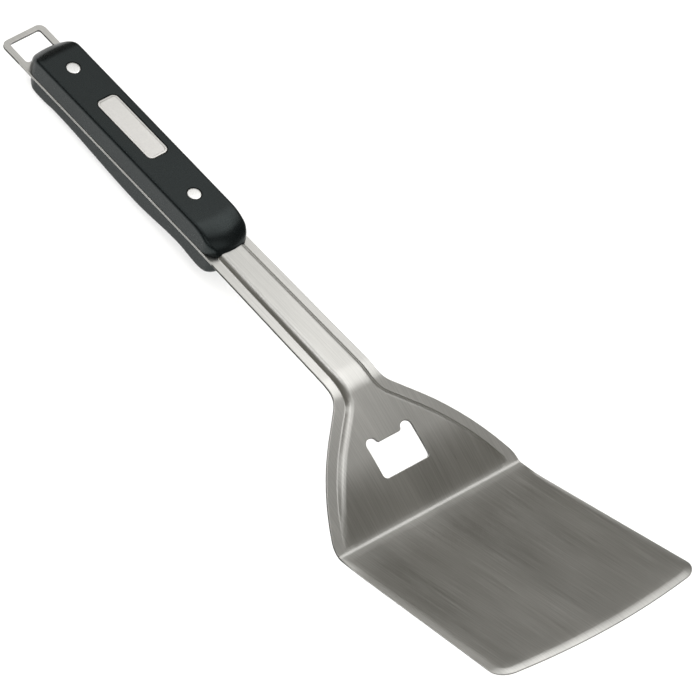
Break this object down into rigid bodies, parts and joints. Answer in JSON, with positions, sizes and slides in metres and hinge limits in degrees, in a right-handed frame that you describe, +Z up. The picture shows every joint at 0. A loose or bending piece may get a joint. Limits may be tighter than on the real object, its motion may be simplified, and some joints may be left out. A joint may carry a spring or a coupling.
{
  "type": "grill spatula",
  "caption": "Long-handled steel grill turner with a wide cranked blade, a bottle-opener cut-out, a hang loop and a riveted two-scale handle.",
  "frame": {"origin": "on the table under the middle of the object's outline, as it rests on its heel and on the butt of its handle", "axes": "+X from the hang loop to the blade, +Y across the blade, +Z up from the table"},
  "size_m": [0.4602, 0.1344, 0.0493],
  "materials": {
    "steel": "brushed stainless sheet",
    "resin": "satin black moulded resin with a fine grain",
    "rivet": "bright satin",
    "plate": "satin, blank",
    "tape": "double-sided foam tape"
  },
  "bodies": {
    "root": {"turner_body": "steel", "upper_scale": "resin", "lower_scale": "resin", "rear_rivet_tube": "rivet", "rear_rivet_pin": "rivet", "front_rivet_tube": "rivet", "front_rivet_pin": "rivet", "name_plate": "plate", "name_plate_tape": "tape"}
  },
  "joints": []
}
